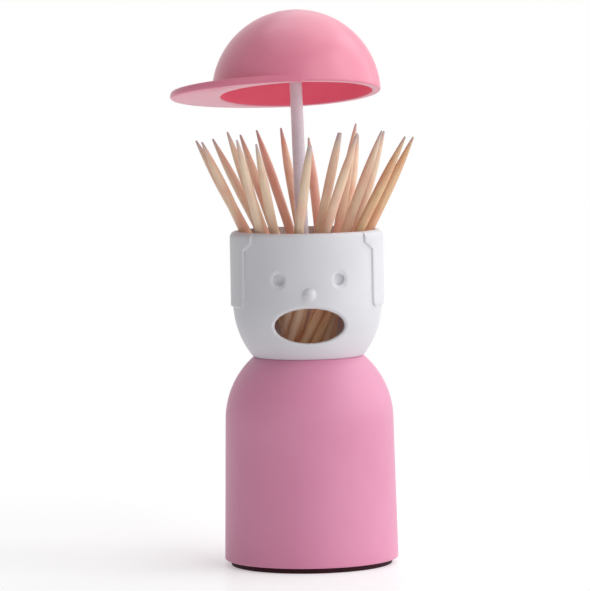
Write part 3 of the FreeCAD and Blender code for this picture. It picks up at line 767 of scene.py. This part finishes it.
def placePick(pick, node, number):
    # the upright coordinates are kept for the grain, then the stick is leaned into its place
    p = pickLook
    joint = foldJoints[node]
    top = max(v.co.z for v in pick.data.vertices)
    along = Vector((0, 0, p["grainStep"] * number))
    pick.data.attributes.new("stickPlace", "FLOAT_VECTOR", "POINT")
    pick.data.attributes.new("tipNearness", "FLOAT", "POINT")
    for k, v in enumerate(pick.data.vertices):
        nearness = 1 - min(v.co.z, top - v.co.z) / (p["greyLength"] * mm)
        pick.data.attributes["stickPlace"].data[k].vector = v.co + along
        pick.data.attributes["tipNearness"].data[k].value = max(0.0, nearness) * p["greyShare"]
    turned = Matrix.Rotation(p["turnStep"] * number, 4, "Z")
    standPiece(pick, Matrix.Translation(joint["pos_m"]) @ turnFrom(joint) @ turned)


patterns = {}
for node in sorted(foldJoints):
    number = int(node[-2:])
    lost = pickLook["lost"] if number in pickLook["bluntSticks"] else 0.0
    size = (pickLength(node), lost)
    if size not in patterns:
        patterns[size] = modelPick("pickPattern" + str(len(patterns)), *size)
    pick = patterns[size].copy()
    pick.data = patterns[size].data.copy()
    pick.name = "stick" + node[-2:]
    bpy.context.scene.collection.objects.link(pick)
    placePick(pick, node, number)
    finishPiece(pick, [toneOf.get(number, "birchPale")], node, node, smooth=40)
for pattern in patterns.values():
    bpy.data.objects.remove(pattern)
print("toothpicks turned:", len(foldJoints))

# plain white floor and room. The floor is coated white paper: it reads as white, takes a shadow and has a
# faint satin reflection. Further off than nearReach, in metres, it fades to pure white by farReach
stageLook = {"size": 8.0, "paper": "#ECECED", "pulp": "#EAEAEB", "pulpMm": 60, "lift": 0.41,
             "bounce": 0.185, "nearReach": 0.12, "farReach": 0.32, "satin": 0.1, "satinRoughness": 0.25,
             "worldStrength": 0.13}
white = (1, 1, 1, 1)


def lookingRays(tree):      # 1 for rays from the camera, off a gloss or through glass, and 0 for others
    seen = addNode(tree, "ShaderNodeLightPath").outputs
    either = addNode(tree, "ShaderNodeMath", {"operation": "MAXIMUM"}, {
        0: seen["Is Camera Ray"], 1: seen["Is Glossy Ray"]})
    return addNode(tree, "ShaderNodeMath", {"operation": "MAXIMUM"}, {
        0: either.outputs[0], 1: seen["Is Transmission Ray"]}).outputs[0]


clearSelection()
bpy.ops.mesh.primitive_plane_add(size=stageLook["size"], location=(0, 0, 0))
floor = bpy.context.object
floor.name = "floor"
material, tree = startMaterial("whitePaperFloor")
place = addNode(tree, "ShaderNodeTexCoord").outputs["Object"]
pulp = addNode(tree, "ShaderNodeTexNoise", inputs={
    "Vector": place, "Scale": 1 / (stageLook["pulpMm"] * mm), "Detail": 2.0})
paper = addNode(tree, "ShaderNodeMix", mixColour, {
    0: pulp.outputs["Fac"], 6: hexColour(stageLook["pulp"]), 7: hexColour(stageLook["paper"])})
looking = lookingRays(tree)
lift = addNode(tree, "ShaderNodeMapRange", inputs={
    "Value": looking, "To Min": stageLook["bounce"], "To Max": stageLook["lift"]})
glow = addNode(tree, "ShaderNodeEmission", inputs={"Color": white, "Strength": lift.outputs["Result"]})
matt = addNode(tree, "ShaderNodeBsdfDiffuse", inputs={"Color": paper.outputs[2], "Roughness": 0.6})
nearFloor = addNode(tree, "ShaderNodeAddShader", inputs={0: matt.outputs[0], 1: glow.outputs[0]})
polish = addNode(tree, "ShaderNodeBsdfAnisotropic", inputs={
    "Color": white, "Roughness": stageLook["satinRoughness"]})
satin = addNode(tree, "ShaderNodeMixShader", inputs={
    0: stageLook["satin"], 1: nearFloor.outputs[0], 2: polish.outputs[0]})
farFloor = addNode(tree, "ShaderNodeEmission", inputs={"Color": white, "Strength": 1.0})
away = addNode(tree, "ShaderNodeVectorMath", {"operation": "LENGTH"}, {0: place})
far = addNode(tree, "ShaderNodeMapRange", inputs={
    "Value": away.outputs["Value"], "From Min": stageLook["nearReach"], "From Max": stageLook["farReach"]})
share = addNode(tree, "ShaderNodeMath", {"operation": "MULTIPLY"}, {0: far.outputs["Result"], 1: looking})
both = addNode(tree, "ShaderNodeMixShader", inputs={
    0: share.outputs[0], 1: satin.outputs[0], 2: farFloor.outputs[0]})
addNode(tree, "ShaderNodeOutputMaterial", inputs={"Surface": both.outputs[0]})
floor.data.materials.append(material)

world = bpy.data.worlds.new("paleStudio")
bpy.context.scene.world = world
world.use_nodes = True
tree = world.node_tree
tree.nodes.clear()
strength = addNode(tree, "ShaderNodeMapRange", inputs={
    "Value": lookingRays(tree), "To Min": stageLook["worldStrength"]})
sky = addNode(tree, "ShaderNodeBackground", inputs={"Color": white, "Strength": strength.outputs["Result"]})
addNode(tree, "ShaderNodeOutputWorld", inputs={"Surface": sky.outputs[0]})

lamps = {       # two large soft boxes on the right, and two weaker ones overhead, in metres and watts
    "softBoxRight": {"at": (1.02, 0.18, 0.45), "size": 1.4, "power": 6.9},
    "softBoxFront": {"at": (0.79, -0.66, 0.45), "size": 1.4, "power": 7.0},
    "highBack": {"at": (0.28, 0.48, 1.02), "size": 1.2, "power": 3.8},
    "topLamp": {"at": (0.04, 0.0, 1.17), "size": 1.2, "power": 3.1},
}
lampAim = Vector((0, 0, 0.07))
for name, lamp in lamps.items():
    clearSelection()
    bpy.ops.object.light_add(type="AREA", location=lamp["at"])
    light = bpy.context.object
    light.name = name
    light.data.shape = "SQUARE"
    light.data.size = lamp["size"]
    light.data.energy = lamp["power"]
    light.rotation_euler = (lampAim - Vector(lamp["at"])).to_track_quat("-Z", "Y").to_euler()

# the camera's place, turns and lens, in mm and degrees, and how far it sees, in metres
view = {"distance": 990.0, "height": 134.5, "around": -1.5, "yaw": -0.172, "pitch": 4.033, "roll": 1.0,
        "lens": 251.75, "sensor": 36.0, "sight": 20.0}
clearSelection()
bpy.ops.object.camera_add()
camera = bpy.context.object
camera.name = "camera"
around = radians(view["around"])
heading = radians(view["yaw"]) - around
pitch, roll = radians(view["pitch"]), radians(view["roll"])
forward = Vector((sin(heading) * cos(pitch), cos(heading) * cos(pitch), -sin(pitch)))
level = Vector((cos(heading), -sin(heading), 0))
upright = level.cross(forward)
right = level * cos(roll) - upright * sin(roll)
up = level * sin(roll) + upright * cos(roll)
position = Vector((sin(around), -cos(around), 0)) * view["distance"] * mm
position += Vector((0, 0, view["height"] * mm))
camera.matrix_world = Matrix.Translation(position) @ Matrix((right, up, -forward)).transposed().to_4x4()
camera.data.lens = view["lens"]
camera.data.sensor_width = view["sensor"]
camera.data.clip_end = view["sight"]
bpy.context.scene.camera = camera
bpy.context.scene.view_settings.view_transform = "Standard"
print("floor, lamps and camera set")
